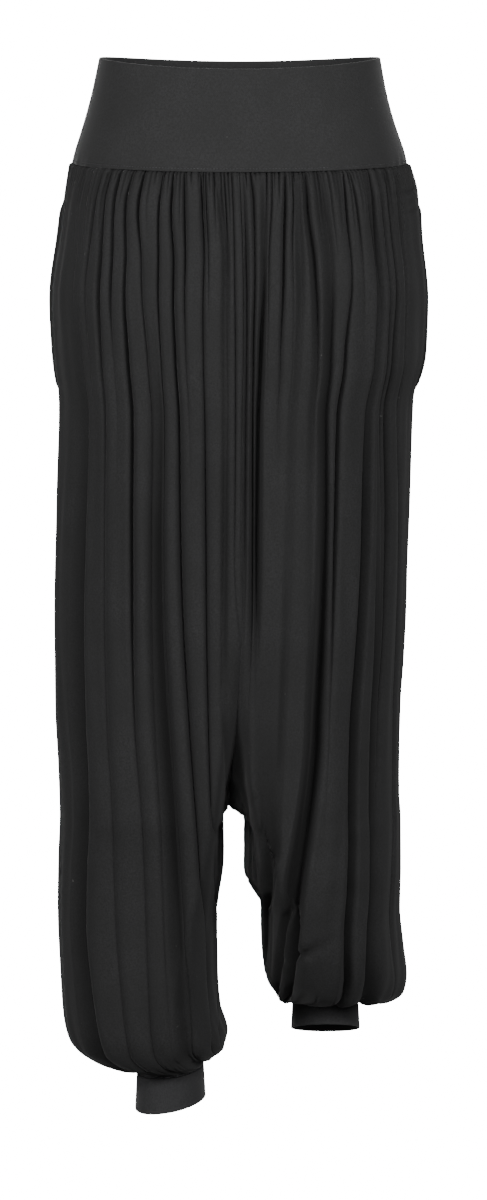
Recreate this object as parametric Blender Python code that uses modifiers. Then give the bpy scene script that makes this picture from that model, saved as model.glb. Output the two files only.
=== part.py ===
"""Harem pants in a light black jersey, worn: a wide plain yoke, four gathered leg panels that hang
to a dropped crotch and balloon over narrow cuffs, side pockets, and a small tack on each side seam.

The origin is the middle of the waist opening. +Z is up, +X is the wearer's left and +Y is the
wearer's back. The wearer stands on the left leg, with the right knee forward and its heel lifted."""

import math
from collections import namedtuple

import bpy
import mathutils
import numpy as np

MM = 0.001
LEFT, RIGHT = 1, -1
BACK, FRONT = 1, -1

# Driving sizes, in millimetres.
WALL = 2.2
GAP = 0.3
CUFF_LENGTH = 37.0
POCKET_WALL = 1.6
TACK_SIZE = (3.2, 5.0, 7.0)
TACK_EDGE = 1.0
TACK_HEIGHT = {LEFT: -686.0, RIGHT: -662.0}

# How full a section's curve is: 1 is straight, 2 is an ellipse, and more is squarer. The outer curve runs
# from the side seam to the lobe, and the inner one from there to the inner seam.
OUTER_FILL = 2.25
YOKE_FILL = 1.9
CURVE_STEPS = 90

# The yoke. Dip is how much lower its edge lies at the centre back than at the sides.
YokeRow = namedtuple("YokeRow", "height left right back front dip")
YOKE_ROWS = [
    YokeRow(0.0, 131.0, 131.5, 98.0, 98.0, -7.0),
    YokeRow(-32.0, 138.0, 137.5, 106.0, 103.0, -6.0),
    YokeRow(-64.0, 147.0, 146.5, 114.0, 108.0, -4.0),
    YokeRow(-89.0, 154.8, 155.2, 119.2, 111.0, -2.5),
    YokeRow(-95.8, 156.0, 156.5, 120.6, 112.3, -2.0),
]

# Each side's panels from the yoke to the cuff. Outer and inner are how far its edges lie from the wearer's
# middle, and axis is how far back its side seam lies. Back and front are the depths from there, and the ends
# are the depths at the inner edge. A lobe is how far in from that edge the cloth turns down to it, and a fill
# is how full that turn is. Tilt raises the section's back edge and roll lowers its outer edge, in degrees.
# Dip is how much lower it lies at the middle.
PanelRow = namedtuple(
    "PanelRow",
    "height outer inner axis back front back_end front_end back_lobe front_lobe back_fill front_fill "
    "tilt roll dip",
)
PANEL_ROWS = {
    LEFT: [
        PanelRow(-96.0, 156.0, 0.0, 0.0, 120.6, 112.3, 120.6, 112.3, 0.0, 0.0, 1.9, 1.9, 0.0, 0.0, -2.0),
        PanelRow(-124.0, 160.5, -1.5, 0.0, 128.0, 118.0, 128.0, 118.0, 0.0, 0.0, 1.9, 1.9, 0.0, 0.0, -1.5),
        PanelRow(-165.0, 166.0, -3.0, 0.0, 134.0, 122.0, 134.0, 122.0, 0.0, 0.0, 1.9, 1.9, 0.0, 0.0, 0.0),
        PanelRow(-225.0, 173.5, -4.0, 0.0, 139.0, 126.0, 139.0, 126.0, 0.0, 0.0, 1.9, 1.9, 0.0, 0.0, 0.0),
        PanelRow(-275.0, 171.5, -3.5, 0.0, 138.0, 127.0, 138.0, 127.0, 0.0, 0.0, 1.9, 1.9, 0.0, 0.0, 0.0),
        PanelRow(-322.0, 167.0, -2.5, 0.0, 136.0, 127.0, 136.0, 127.0, 0.0, 0.0, 1.9, 1.9, 0.0, 0.0, 0.0),
        PanelRow(-430.0, 171.0, -1.0, 0.0, 131.0, 126.0, 128.4, 126.0, 4.0, 4.0, 1.9, 1.9, 0.0, 0.0, 0.0),
        PanelRow(-530.0, 173.5, 3.2, 0.0, 126.0, 122.0, 118.4, 118.0, 9.0, 12.0, 1.9, 1.9, 0.0, 0.0, 0.0),
        PanelRow(-570.0, 173.0, 6.6, 1.5, 123.5, 120.0, 105.5, 109.5, 8.5, 14.0, 1.9, 1.9, 0.0, 0.0, 0.0),
        PanelRow(-615.0, 172.0, 9.8, 3.0, 121.0, 117.0, 89.5, 95.0, 9.0, 18.0, 1.9, 1.9, 0.0, 0.0, 0.0),
        PanelRow(-665.0, 169.0, 12.3, 6.0, 117.0, 115.0, 52.7, 64.0, 11.0, 26.0, 1.9, 1.9, 0.0, 0.0, 0.0),
        PanelRow(-706.0, 168.0, 13.5, 7.5, 113.0, 112.7, -17.5, 17.5, 15.0, 38.0, 1.9, 1.9, 0.0, 0.0, 0.0),
        PanelRow(-710.0, 168.0, 18.5, 7.0, 112.4, 112.3, -15.0, 15.0, 11.5, 36.0, 1.9, 1.85, 0.0, 0.0, 0.0),
        PanelRow(-760.0, 170.6, 18.7, 2.0, 106.5, 109.0, -4.0, 4.0, 21.0, 50.0, 1.85, 1.75, 0.0, 0.0, 0.0),
        PanelRow(-814.0, 171.8, 24.0, -2.0, 103.0, 106.0, 0.0, 0.0, 28.0, 60.0, 1.8, 1.7, 0.0, 0.0, 0.0),
        PanelRow(-870.0, 169.9, 23.5, -4.0, 99.0, 102.0, 0.0, 0.0, 38.0, 62.0, 1.8, 1.75, 0.0, 0.0, 0.0),
        PanelRow(-912.0, 167.2, 20.0, -5.0, 93.0, 96.0, 0.0, 0.0, 46.0, 62.0, 1.85, 1.85, 0.0, 1.0, 0.0),
        PanelRow(-937.0, 161.0, 14.6, -6.0, 85.0, 88.0, 0.0, 0.0, 52.0, 62.0, 1.9, 1.9, 0.0, 2.0, 0.0),
        PanelRow(-951.0, 143.0, 18.5, -7.0, 72.0, 75.0, 0.0, 0.0, 50.0, 55.0, 1.9, 1.9, 0.0, 3.5, 0.0),
        PanelRow(-960.0, 121.0, 26.5, -8.0, 56.0, 58.0, 0.0, 0.0, 43.0, 45.0, 1.9, 1.9, 0.0, 5.0, 0.0),
        PanelRow(-966.0, 100.5, 33.5, -8.0, 43.0, 43.0, 0.0, 0.0, 33.5, 33.5, 1.9, 1.9, 0.0, 6.0, 0.0),
    ],
    RIGHT: [
        PanelRow(-96.0, 156.5, 0.0, 0.0, 120.6, 112.3, 120.6, 112.3, 0.0, 0.0, 1.9, 1.9, 0.0, 0.0, -2.0),
        PanelRow(-124.0, 164.0, 1.5, 0.0, 128.0, 118.0, 128.0, 118.0, 0.0, 0.0, 1.9, 1.9, 0.0, 0.0, -1.5),
        PanelRow(-165.0, 166.5, 3.0, 0.0, 134.0, 122.0, 134.0, 122.0, 0.0, 0.0, 1.9, 1.9, 0.0, 0.0, 0.0),
        PanelRow(-225.0, 172.4, 4.0, -2.0, 141.0, 125.0, 141.0, 124.0, 0.0, 4.0, 1.9, 1.9, 0.0, 0.0, 0.0),
        PanelRow(-275.0, 171.0, 3.5, -6.0, 144.0, 127.0, 144.0, 121.0, 0.0, 20.0, 1.9, 1.9, 0.0, 0.0, 0.0),
        PanelRow(-322.0, 161.3, 2.5, -12.0, 148.0, 131.0, 148.0, 115.0, 0.0, 35.0, 1.9, 1.85, 0.0, 0.0, 0.0),
        PanelRow(-430.0, 158.8, 1.0, -26.0, 157.0, 146.0, 154.4, 100.0, 4.0, 52.0, 1.9, 1.8, 0.0, 0.0, 0.0),
        PanelRow(-530.0, 156.0, -3.2, -42.0, 168.0, 170.0, 160.4, 76.0, 17.5, 59.0, 1.4, 1.75, 0.0, 0.0, 0.0),
        PanelRow(-570.0, 154.0, -6.6, -47.0, 170.0, 178.0, 154.0, 61.0, 20.0, 61.0, 1.1, 1.75, 0.0, 0.0, 0.0),
        PanelRow(-615.0, 151.4, -9.8, -51.0, 172.0, 180.0, 143.5, 41.0, 22.5, 62.0, 0.9, 1.75, 0.0, 0.0, 0.0),
        PanelRow(-665.0, 151.0, -12.3, -53.0, 171.0, 177.0, 111.7, 5.0, 25.5, 62.0, 0.85, 1.75, 0.0, 0.0, 0.0),
        PanelRow(-706.0, 151.2, -13.5, -53.0, 167.4, 170.3, 43.0, -43.0, 32.0, 64.0, 0.95, 1.75, 0.0, 0.0, 0.0),
        PanelRow(-712.0, 151.6, -2.4, -52.7, 166.5, 169.2, 39.7, -39.7, 23.0, 56.0, 1.1, 1.75, 0.25, 0.0, 0.0),
        PanelRow(-725.0, 152.5, 7.2, -52.0, 164.2, 166.7, 30.0, -30.0, 17.5, 50.0, 1.35, 1.75, 0.6, 0.0, 0.0),
        PanelRow(-779.0, 152.6, 7.6, -50.0, 153.0, 154.0, 8.0, -8.0, 36.0, 60.0, 1.6, 1.75, 2.5, 0.0, 0.0),
        PanelRow(-797.0, 152.2, 14.0, -50.0, 148.5, 149.0, 4.0, -4.0, 36.0, 60.0, 1.6, 1.75, 3.5, 0.0, 0.0),
        PanelRow(-814.0, 152.0, 23.0, -50.0, 143.5, 144.0, 0.0, 0.0, 33.0, 60.0, 1.6, 1.75, 4.5, 0.0, 0.0),
        PanelRow(-858.0, 156.0, 24.0, -52.0, 130.0, 126.0, 0.0, 0.0, 42.0, 62.0, 1.7, 1.8, 6.0, 0.0, 0.0),
        PanelRow(-889.0, 159.5, 27.5, -56.0, 114.0, 106.0, 0.0, 0.0, 46.5, 64.0, 1.8, 1.85, 7.5, 0.0, 0.0),
        PanelRow(-906.0, 157.0, 36.0, -61.0, 99.0, 90.0, 0.0, 0.0, 47.0, 60.0, 1.85, 1.9, 8.5, 0.0, 0.0),
        PanelRow(-915.0, 148.0, 41.5, -66.0, 84.0, 76.0, 0.0, 0.0, 47.0, 52.0, 1.9, 1.9, 10.0, 0.0, 0.0),
        PanelRow(-919.5, 136.0, 46.0, -71.0, 67.0, 64.0, 0.0, 0.0, 44.0, 44.0, 1.9, 1.9, 12.5, 0.0, 0.0),
        PanelRow(-916.5, 126.0, 48.0, -74.5, 54.0, 54.0, 0.0, 0.0, 38.0, 38.0, 1.9, 1.9, 15.5, 0.0, 0.0),
        PanelRow(-909.5, 117.0, 51.0, -76.0, 44.0, 44.0, 0.0, 0.0, 33.0, 33.0, 1.9, 1.9, 19.0, 0.0, 0.0),
    ],
}
# The last row that still joins the other leg's panel, and the station where the cloth turns under to its
# cuff. From there the seams are a little wider, because the walls lean towards each other.
CROTCH_ROW = 11
TURN_UNDER = 0.93
TURN_UNDER_GAP = 3.0

# Where each gather's valley runs: the share of the way from the side seam to the wearer's middle, in
# percent, at seven stations down the panel. Then its depth at the yoke, the seat and the calf, and half
# its width, in millimetres.
PERCENT = 100.0
STATIONS = (0.0, 0.07, 0.15, 0.37, 0.62, 0.82, 0.95)
Valley = namedtuple("Valley", "path depths half_width")
VALLEYS = {
    LEFT: [
        Valley((11, 10, 11, 12, 11, 14, 19), (1.2, 2.0, 4.0), 6.5),
        Valley((24, 24, 28, 29, 31, 35, 37), (1.2, 3.5, 2.0), 5.0),
        Valley((30, 30, 34, 35, 37, 41, 43), (1.2, 2.5, 0.5), 4.5),
        Valley((37, 37, 41, 41, 43, 48, 49), (1.2, 4.2, 2.5), 4.8),
        Valley((45, 46, 52, 53, 54, 58, 61), (1.2, 3.5, 4.5), 5.5),
        Valley((56, 56, 59, 60, 63, 69, 72), (1.2, 3.2, 4.0), 5.0),
        Valley((62, 63, 66, 68, 74, 80, 83), (1.2, 3.8, 2.5), 4.8),
        Valley((77, 80, 81, 82, 84, 86, 87), (1.2, 3.8, 1.0), 4.8),
        Valley((85, 87, 89, 90, 90, 90, 91), (1.2, 3.0, 0.5), 4.5),
        Valley((93, 94, 95, 96, 94, 94, 95), (1.2, 2.5, 0.0), 4.0),
    ],
    RIGHT: [
        Valley((13, 11, 11, 8, 7, 7, 9), (1.2, 2.0, 1.0), 5.0),
        Valley((20, 17, 18, 14, 13, 18, 23), (1.2, 4.0, 4.5), 6.0),
        Valley((28, 27, 26, 25, 29, 31, 35), (1.2, 4.0, 5.0), 5.5),
        Valley((40, 40, 40, 43, 46, 51, 55), (1.2, 3.5, 0.5), 4.8),
        Valley((54, 51, 50, 50, 54, 63, 68), (1.2, 4.2, 5.5), 7.0),
        Valley((62, 60, 58, 59, 62, 69, 74), (1.2, 3.0, 0.5), 4.8),
        Valley((69, 67, 68, 68, 71, 75, 79), (1.2, 2.5, 3.0), 6.0),
        Valley((74, 75, 77, 77, 78, 81, 84), (1.2, 4.0, 0.5), 4.8),
        Valley((86, 86, 87, 89, 90, 88, 90), (1.2, 4.5, 0.5), 5.0),
        Valley((93, 92, 92, 93, 94, 92, 94), (1.2, 4.0, 0.5), 4.5),
    ],
}
DEPTH_STATIONS = (0.0, 0.2, 0.8)

# A cuff's rings: the share of its length, how much wider than its top, and how much more it rolls, in
# degrees.
CuffRow = namedtuple("CuffRow", "share flare roll")
CUFF_ROWS = [CuffRow(0.0, -1.2, 0.0), CuffRow(0.5, -0.5, 2.0), CuffRow(1.0, 0.8, 4.0)]
CUFF_GAP = 0.5
# Between two valleys the cloth rises by the crest, and the valley's shoulders by a share of it. The seam
# edge turns in.
CREST = 1.2
SHOULDER = 0.36
SEAM_TURN = 0.6
LEAST_SPACING = 8.0
# A valley takes at most this share of the room on either side of it.
VALLEY_SHARE = 0.3
# Under the yoke each crest has a fine gather of its own, which has run out at this share of the way down.
FINE_GATHER = 1.0
FINE_GATHER_ENDS = 0.08
# The gathers are pressed flat over this last share of a panel, where the cuff holds them.
FLAT_END = 0.02
# The plain strip along the side seam, and the column next to the inner seam.
SIDE_STRIP = (6.0, 14.0)
SEAM_COLUMN = 4.0
YOKE_COLUMNS = 12
CUFF_COLUMNS = 32
# The pocket's mouth in the side seam. Its front lip stands out, and less so at the first column of the
# side strip.
POCKET_TOP, POCKET_BOTTOM = -130.0, -315.0
POCKET_LIP = (4.5, 2.7)
POCKET_TURN_BACK = 2.5
POCKET_REACH = 15.0
POCKET_PAST_MOUTH = 20.0

BLACK_JERSEY = (0.022, 0.022, 0.025, 1.0)

Section = namedtuple("Section", "height outer inner axis depth end lobe fill tilt roll dip at_leg")


def sections_of(side, face):
    """The sections of one panel, from the yoke to its cuff, with signed outer and inner edges."""
    sections = []
    for i, row in enumerate(PANEL_ROWS[side]):
        depth, end, lobe, fill = row.front, row.front_end, row.front_lobe, row.front_fill
        if face == BACK:
            depth, end, lobe, fill = row.back, row.back_end, row.back_lobe, row.back_fill
        inner = side * (row.inner + (GAP / 2 if i <= CROTCH_ROW else 0.0))
        at_leg = 1.0 if i >= CROTCH_ROW else 0.0
        sections.append(
            Section(
                row.height, side * row.outer, inner, row.axis, depth, end, lobe, fill,
                row.tilt, row.roll, row.dip, at_leg,
            )
        )
    sections[0] = sections[0]._replace(height=sections[0].height - GAP)
    return sections


def stations_of(rows):
    """How far down the panel each section lies, as a share of the whole."""
    steps = [math.hypot(b.height - a.height, b.axis - a.axis) for a, b in zip(rows, rows[1:])]
    along = np.concatenate([[0.0], np.cumsum(steps)])
    return along / along[-1]


def section_curve(section, side, face):
    """A section's smooth plan curve, from the side seam to the inner edge: x, y and the length along it."""
    apex_x = section.inner + side * section.lobe
    apex_y = section.axis + face * section.depth
    end_y = section.axis + face * section.end
    turn = np.linspace(0.0, math.pi / 2, CURVE_STEPS)
    out_x = apex_x + (section.outer - apex_x) * np.cos(turn) ** (2 / OUTER_FILL)
    out_y = section.axis + (apex_y - section.axis) * np.sin(turn) ** (2 / OUTER_FILL)
    in_x = section.inner + (apex_x - section.inner) * (1 - np.sin(turn) ** (2 / section.fill))
    in_y = end_y + (apex_y - end_y) * np.cos(turn) ** (2 / section.fill)
    x = np.concatenate([out_x, in_x[1:]])
    y = np.concatenate([out_y, in_y[1:]])
    along = np.concatenate([[0.0], np.cumsum(np.hypot(np.diff(x), np.diff(y)))])
    return x, y, along


def place(section, side, x, y):
    """A point of a section's plan, dipped, tilted and rolled into its place."""
    across = (x - section.inner) / (section.outer - section.inner)
    z = section.dip * (1 - across**2)
    tilt, roll = math.radians(section.tilt), math.radians(section.roll)
    middle = (section.outer + section.inner) / 2
    back = y - section.axis
    placed_y = section.axis + back * math.cos(tilt) - z * math.sin(tilt)
    placed_z = section.height + back * math.sin(tilt) + z * math.cos(tilt)
    placed_z = placed_z - side * (x - middle) * math.sin(roll)
    return x, placed_y, placed_z


def normals_of(points):
    """Unit normals of a grid of points, from the grid's own two directions."""
    down = np.gradient(points, axis=0)
    across = np.gradient(points, axis=1)
    normal = np.cross(down, across)
    return normal / np.linalg.norm(normal, axis=2, keepdims=True)


def cloth_mesh(name, points, outward, ring=False):
    """An open sheet over a grid of points in millimetres, one row of points after another."""
    rows, columns = points.shape[:2]
    last = columns if ring else columns - 1
    faces = []
    for row in range(rows - 1):
        for column in range(last):
            beside = (column + 1) % columns
            corner = row * columns
            face = (corner + column, corner + beside, corner + columns + beside, corner + columns + column)
            faces.append(face if outward else face[::-1])
    mesh = bpy.data.meshes.new(name)
    mesh.from_pydata((points.reshape(-1, 3) * MM).tolist(), [], faces)
    mesh.shade_smooth()
    return mesh


def cloth_object(name, points, outward, wall, ring=False):
    """A cloth wall: the outer sheet, thickened inwards."""
    obj = bpy.data.objects.new(name, cloth_mesh(name, points, outward, ring))
    PANTS.objects.link(obj)
    solidify = obj.modifiers.new("Wall", "SOLIDIFY")
    solidify.thickness = wall * MM
    solidify.offset = -1.0
    obj.data.materials.append(jersey(name))
    return obj


def jersey(name):
    """The black jersey of one piece."""
    material = bpy.data.materials.new(name + "_jersey")
    material.use_nodes = True
    shader = material.node_tree.nodes["Principled BSDF"]
    shader.inputs["Base Color"].default_value = BLACK_JERSEY
    shader.inputs["Roughness"].default_value = 0.85
    shader.inputs["Metallic"].default_value = 0.0
    return material


def panel_columns(section, station, side, face):
    """Where the panel's columns lie along one section, and how far each stands out, in millimetres."""
    valleys = VALLEYS[side * face]
    at_pocket = POCKET_TOP > section.height > POCKET_BOTTOM
    x, _, along = section_curve(section, side, face)
    length = along[-1]
    share_across = 1 - x / section.outer
    centres = [
        np.interp(np.interp(station, STATIONS, valley.path) / PERCENT, share_across, along)
        for valley in valleys
    ]
    first = SIDE_STRIP[1] + LEAST_SPACING / 2
    for i, centre in enumerate(centres):
        least = first if i == 0 else centres[i - 1] + LEAST_SPACING
        room_after = (len(centres) - i) * LEAST_SPACING
        centres[i] = min(max(centre, least), length - room_after)
    ends = centres + [length + LEAST_SPACING / 2]
    gather = FINE_GATHER * max(0.0, 1 - station / FINE_GATHER_ENDS)
    gap = GAP if station < TURN_UNDER else TURN_UNDER_GAP
    start = POCKET_TURN_BACK if at_pocket and face == BACK else gap / 2
    lip = POCKET_LIP if at_pocket and face == FRONT else (0.0, 0.0)
    columns = [(start, lip[0]), (SIDE_STRIP[0], lip[1]), (SIDE_STRIP[1], 0.0)]
    for i, valley in enumerate(valleys):
        before = centres[i] - (columns[-1][0] if i == 0 else centres[i - 1])
        after = ends[i + 1] - centres[i]
        half = min(valley.half_width, VALLEY_SHARE * before, VALLEY_SHARE * after)
        depth = min(np.interp(station, DEPTH_STATIONS, valley.depths), half)
        columns.append((centres[i] - half, SHOULDER))
        columns.append((centres[i], -depth))
        columns.append((centres[i] + half, SHOULDER))
        if i < len(valleys) - 1:
            columns.append(((centres[i] + centres[i + 1]) / 2, CREST - 2 * gather))
    finish = length - (gap / 2 if section.at_leg else 0.0)
    columns.append((finish - SEAM_COLUMN, 0.0))
    columns.append((finish, -SEAM_TURN))
    relief = min(1.0, (1 - station) / FLAT_END)
    return [(along, height * relief) for along, height in columns]


def base_points(section, side, face, alongs):
    """Points of a section's smooth curve at these lengths along it."""
    x, y, along = section_curve(section, side, face)
    return np.array([place(section, side, np.interp(a, along, x), np.interp(a, along, y)) for a in alongs])


def panel(name, side, face):
    """One gathered leg panel, from the yoke to the cuff."""
    rows = sections_of(side, face)
    grid, stand_out = [], []
    for section, station in zip(rows, stations_of(rows)):
        columns = panel_columns(section, station, side, face)
        grid.append(base_points(section, side, face, [along for along, _ in columns]))
        stand_out.append([height for _, height in columns])
    grid = np.array(grid)
    normals = normals_of(grid) * side * face
    points = grid + normals * np.array(stand_out)[:, :, None]
    return cloth_object(name, points, side * face < 0, WALL)


def yoke(name, face):
    """Half of the yoke, from side seam to side seam."""
    grid = []
    for row in YOKE_ROWS:
        half = {}
        for side in (LEFT, RIGHT):
            outer = row.left if side == LEFT else row.right
            depth = row.back if face == BACK else row.front
            section = Section(
                row.height, side * outer, 0.0, 0.0, depth, depth, 0.0, YOKE_FILL, 0.0, 0.0, row.dip, 0.0
            )
            length = section_curve(section, side, face)[2][-1]
            alongs = np.linspace(GAP / 2, length, YOKE_COLUMNS)
            half[side] = base_points(section, side, face, alongs)
        grid.append(np.concatenate([half[LEFT], half[RIGHT][-2::-1]]))
    return cloth_object(name, np.array(grid), face < 0, WALL)


def cuff_section(side, face, row):
    """A ring of a cuff: the panels' last section, carried down along the shin."""
    last = sections_of(side, face)[-1]
    reach = CUFF_GAP + row.share * (CUFF_LENGTH - CUFF_GAP)
    tilt = math.radians(last.tilt)
    return last._replace(
        height=last.height - reach * math.cos(tilt),
        axis=last.axis + reach * math.sin(tilt),
        outer=last.outer + side * row.flare,
        inner=last.inner - side * row.flare,
        lobe=last.lobe + row.flare,
        depth=last.depth + row.flare,
        roll=last.roll + (row.roll if last.roll else 0.0),
    )


def cuff(name, side):
    """A plain cuff: a tube that hangs from the panels' last sections along the shin."""
    grid = []
    for row in CUFF_ROWS:
        halves = []
        for face in (BACK, FRONT):
            section = cuff_section(side, face, row)
            length = section_curve(section, side, face)[2][-1]
            halves.append(base_points(section, side, face, np.linspace(0.0, length, CUFF_COLUMNS // 2 + 1)))
        grid.append(np.concatenate([halves[0], halves[1][-2:0:-1]]))
    return cloth_object(name, np.array(grid), side < 0, WALL, ring=True)


def pocket(name, side):
    """The strip of pocket that shows in the open side seam: it lies just inside both panels."""
    grid = []
    fronts = sections_of(side, FRONT)
    backs = sections_of(side, BACK)
    for front, back in zip(fronts, backs):
        if not POCKET_TOP + POCKET_PAST_MOUTH > front.height > POCKET_BOTTOM - POCKET_PAST_MOUTH:
            continue
        steps = [POCKET_REACH, SIDE_STRIP[0]]
        ahead = base_points(front, side, FRONT, steps)
        behind = base_points(back, side, BACK, [0.0] + steps[::-1])
        grid.append(np.concatenate([ahead, behind]))
    grid = np.array(grid)
    normals = normals_of(grid) * side
    points = grid - normals * (WALL + GAP)
    return cloth_object(name, points, side < 0, POCKET_WALL)


def tack(name, side):
    """The small sewn tack that stands out of a side seam."""
    rows = sections_of(side, BACK)[: CROTCH_ROW + 1]
    heights = [section.height for section in rows][::-1]
    out = np.interp(TACK_HEIGHT[side], heights, [section.outer for section in rows][::-1])
    back = np.interp(TACK_HEIGHT[side], heights, [section.axis for section in rows][::-1])
    centre = (out + side * (GAP + TACK_SIZE[0] / 2), back, TACK_HEIGHT[side])
    bpy.ops.mesh.primitive_cube_add(size=1.0, location=[value * MM for value in centre])
    obj = bpy.context.object
    obj.name = name
    obj.data.transform(mathutils.Matrix.Diagonal([value * MM for value in TACK_SIZE] + [1.0]))
    for collection in obj.users_collection:
        collection.objects.unlink(obj)
    PANTS.objects.link(obj)
    bevel = obj.modifiers.new("Soft edges", "BEVEL")
    bevel.width = TACK_EDGE * MM
    bevel.segments = 2
    obj.data.materials.append(jersey(name))
    return obj


for old in list(bpy.data.objects):
    bpy.data.objects.remove(old)
PANTS = bpy.data.collections.new("harem_pants")
bpy.context.scene.collection.children.link(PANTS)

yoke("waistband_back", BACK)
yoke("waistband_front", FRONT)
for side, word in ((LEFT, "left"), (RIGHT, "right")):
    panel("back_" + word, side, BACK)
    panel("front_" + word, side, FRONT)
    pocket("pocket_" + word, side)
    cuff("cuff_" + word, side)
    tack("tack_" + word, side)
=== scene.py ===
# %% [markdown]
# # Harem pants in a light black jersey
#
# These trousers hang from a wide plain yoke. Four leg panels are gathered into it, fall to a crotch that
# hangs between the knees, and balloon over two narrow cuffs. The wearer stands on the left leg, with the
# right knee forward and its heel lifted. The frame holds the plain solids, in metres. We set up a camera
# and a studio, and then lay each cut piece over its solid as a thin shell, with its sewing.

# %% Load the frame
import math

from collections import namedtuple

import bmesh
import bpy
import numpy as np
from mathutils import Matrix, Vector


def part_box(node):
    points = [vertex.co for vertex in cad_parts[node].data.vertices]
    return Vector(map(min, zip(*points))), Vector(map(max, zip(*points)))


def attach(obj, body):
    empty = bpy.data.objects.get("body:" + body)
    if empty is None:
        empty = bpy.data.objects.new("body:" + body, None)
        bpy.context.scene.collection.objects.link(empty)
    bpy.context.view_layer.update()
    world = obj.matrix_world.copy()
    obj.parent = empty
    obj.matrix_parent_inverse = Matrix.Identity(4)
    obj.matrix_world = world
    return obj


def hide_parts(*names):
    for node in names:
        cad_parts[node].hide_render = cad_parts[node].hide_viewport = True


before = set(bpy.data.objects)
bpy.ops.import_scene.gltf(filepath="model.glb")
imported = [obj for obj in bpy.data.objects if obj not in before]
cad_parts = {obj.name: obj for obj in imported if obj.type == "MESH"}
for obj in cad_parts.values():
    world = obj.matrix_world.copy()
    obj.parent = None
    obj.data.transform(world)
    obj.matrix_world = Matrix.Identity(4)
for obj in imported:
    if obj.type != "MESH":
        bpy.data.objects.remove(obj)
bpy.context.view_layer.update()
MM = 0.001
LEFT, RIGHT = 1, -1
BACK, FRONT = 1, -1
SIDE_NAMES = {LEFT: "left", RIGHT: "right"}
FACE_NAMES = {BACK: "back", FRONT: "front"}


def clamp(values):
    """Values held between 0 and 1."""
    return np.clip(values, 0.0, 1.0)


def running(lengths):
    """The running total of some lengths, from 0 on."""
    return np.concatenate([[0.0], np.cumsum(lengths)])


def eased(share):
    """A soft step from 0 to 1."""
    share = clamp(share)
    return share**2 * (3 - 2 * share)


def unit(vectors):
    """Vectors, made 1 long."""
    return vectors / np.linalg.norm(vectors, axis=-1, keepdims=True)


print("solids:", sorted(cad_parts))

# %% [markdown]
# ## Camera
#
# Trousers are pictured from a few metres off, a little above the waist, so that the legs don't taper. We
# put the camera four metres behind the wearer and aim it at the middle of the garment. The lens follows
# from the distance and from how much has to fit in.

# %% Camera
SENSOR, LENS = 36.0, 134.26
CAMERA_AT = (-0.0038, 4.2, 0.15)
CAMERA_DROP = math.radians(8.945)


def add_object(name, data):
    """Put an object of this data in the scene."""
    obj = bpy.data.objects.new(name, data)
    bpy.context.scene.collection.objects.link(obj)
    return obj


camera_data = bpy.data.cameras.new("studio_camera")
camera_data.sensor_fit = "VERTICAL"
camera_data.sensor_height = SENSOR
camera_data.lens = LENS
camera_data.dof.use_dof = False
camera = add_object("studio_camera", camera_data)
camera.location = CAMERA_AT
camera.rotation_euler = (math.radians(90.0) - CAMERA_DROP, 0.0, math.pi)
bpy.context.scene.camera = camera
print("camera", CAMERA_AT, "lens", LENS)

# %% [markdown]
# ## Studio
#
# The garment stands over a pale floor in front of a white wall. Two soft light panels stand to the left
# and the right of the camera, so that the floor of a narrow fold stays dark between its walls. A weaker
# one hangs over the camera, and the pale room fills the rest. Black jersey sends back about one part in
# fifty of the light, so the lights are strong.

# %% Studio
FLOOR_AT, FLOOR_REACH = -1.092, 9.0
WALL_AWAY = 12.0
PAINT_GLOW = 18.0
ROOM_LIGHT = 0.16
LIT_POINT = (0.0, 0.0, -0.45)


def linear(hex_colour):
    """An sRGB hex value as the linear colour that the shader sockets take."""
    shares = [int(hex_colour[i : i + 2], 16) / 255 for i in (1, 3, 5)]
    straight = [s / 12.92 if s <= 0.04045 else ((s + 0.055) / 1.055) ** 2.4 for s in shares]
    return straight + [1.0]


def add_node(tree, kind, links=None, **settings):
    """Add a shader node. Settings name its properties or inputs, and links the sockets that feed these."""
    node = tree.nodes.new(kind)
    for key, value in settings.items():
        if hasattr(node, key):
            setattr(node, key, value)
        else:
            node.inputs[key.replace("_", " ")].default_value = value
    for key, socket in (links or {}).items():
        tree.links.new(socket, node.inputs[key])
    return node


def new_material(name, **settings):
    """A material whose shader has these settings, its nodes and that shader."""
    material = bpy.data.materials.new(name)
    material.use_nodes = True
    shader = material.node_tree.nodes["Principled BSDF"]
    for key, value in settings.items():
        shader.inputs[key.replace("_", " ")].default_value = value
    return material, material.node_tree, shader


def soft_light(name, at, size, power):
    """A large light panel that faces the garment."""
    data = bpy.data.lights.new(name, "AREA")
    data.shape = "RECTANGLE"
    data.size, data.size_y = size
    data.energy = power
    obj = add_object(name, data)
    obj.location = at
    toward = np.array(LIT_POINT) - np.array(at)
    yaw = math.atan2(toward[0], -toward[1])
    drop = math.atan2(-toward[2], math.hypot(toward[0], toward[1]))
    obj.rotation_euler = (math.radians(90.0) - drop, 0.0, math.pi + yaw)


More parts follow.
